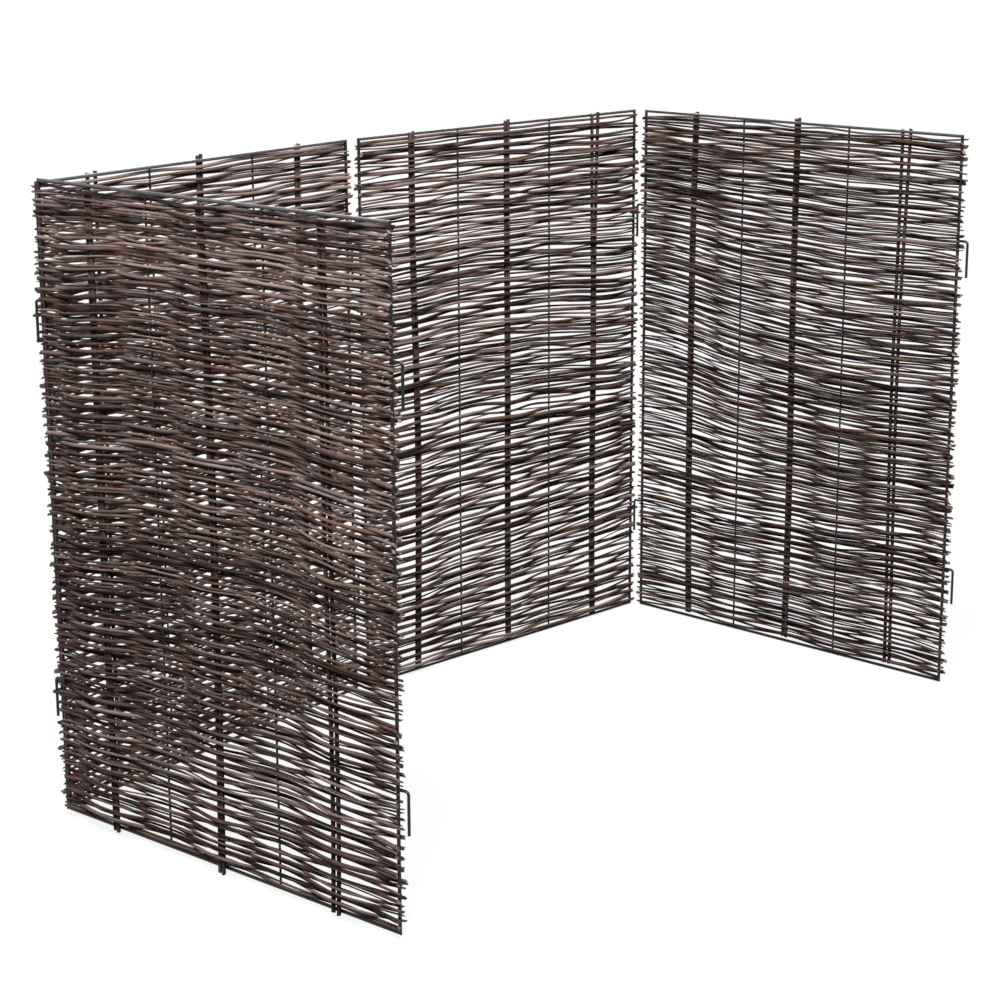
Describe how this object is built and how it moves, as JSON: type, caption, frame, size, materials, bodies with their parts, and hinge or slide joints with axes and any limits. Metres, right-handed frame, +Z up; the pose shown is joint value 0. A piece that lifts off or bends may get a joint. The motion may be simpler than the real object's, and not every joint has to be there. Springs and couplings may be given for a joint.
{
  "type": "woven willow hurdle",
  "caption": "Free-standing woven willow hurdle: panels in thin steel rod frames, linked edge to edge by drop hooks in eyes so that they stand in a U and fold.",
  "frame": {"origin": "middle of the bounding box in plan, at the ground", "axes": "+X along the back from the left corner to the right corner, +Y away from the open side, +Z up"},
  "size_m": [1.5258, 0.8294, 1.0128],
  "materials": {
    "steel": "thin black coat, satin",
    "willow_stakes": "brown bark, matt",
    "woven_willow": "purple-brown bark, satin"
  },
  "bodies": {
    "front_left_panel": {"front_left_bottom_rod": "steel", "front_left_left_hooks": "steel", "front_left_left_rod": "steel", "front_left_right_hooks": "steel", "front_left_right_rod": "steel", "front_left_stakes_left": "willow_stakes", "front_left_stakes_middle": "willow_stakes", "front_left_stakes_right": "willow_stakes", "front_left_top_rod": "steel", "front_left_weave": "woven_willow", "front_left_wire_left": "steel", "front_left_wire_right": "steel"},
    "back_left_panel": {"back_left_bottom_rod": "steel", "back_left_left_eyes": "steel", "back_left_left_rod": "steel", "back_left_right_eyes": "steel", "back_left_right_rod": "steel", "back_left_stakes_left": "willow_stakes", "back_left_stakes_middle": "willow_stakes", "back_left_stakes_right": "willow_stakes", "back_left_top_rod": "steel", "back_left_weave": "woven_willow", "back_left_wire_left": "steel", "back_left_wire_right": "steel"},
    "back_right_panel": {"back_right_bottom_rod": "steel", "back_right_left_hooks": "steel", "back_right_left_rod": "steel", "back_right_right_eyes": "steel", "back_right_right_rod": "steel", "back_right_stakes_left": "willow_stakes", "back_right_stakes_middle": "willow_stakes", "back_right_stakes_right": "willow_stakes", "back_right_top_rod": "steel", "back_right_weave": "woven_willow", "back_right_wire_left": "steel", "back_right_wire_right": "steel"},
    "right_panel": {"right_bottom_rod": "steel", "right_left_hooks": "steel", "right_left_rod": "steel", "right_right_hooks": "steel", "right_right_rod": "steel", "right_stakes_left": "willow_stakes", "right_stakes_middle": "willow_stakes", "right_stakes_right": "willow_stakes", "right_top_rod": "steel", "right_weave": "woven_willow", "right_wire_left": "steel", "right_wire_right": "steel"}
  },
  "joints": [
    {"name": "left_corner_hinge", "type": "hinge", "parent": "back_left_panel", "child": "front_left_panel", "pos_m": [-0.74122, 0.34754, 0.00275], "axis": [0, 0, -1], "range_deg": [-4, 170]},
    {"name": "middle_hinge", "type": "hinge", "parent": "back_left_panel", "child": "back_right_panel", "pos_m": [0.00073, 0.40268, 0.00275], "axis": [0, 0, 1], "range_deg": [-75, 80]},
    {"name": "right_corner_hinge", "type": "hinge", "parent": "back_right_panel", "child": "right_panel", "pos_m": [0.75067, 0.34695, 0.00275], "axis": [0, 0, 1], "range_deg": [-1, 170]}
  ]
}
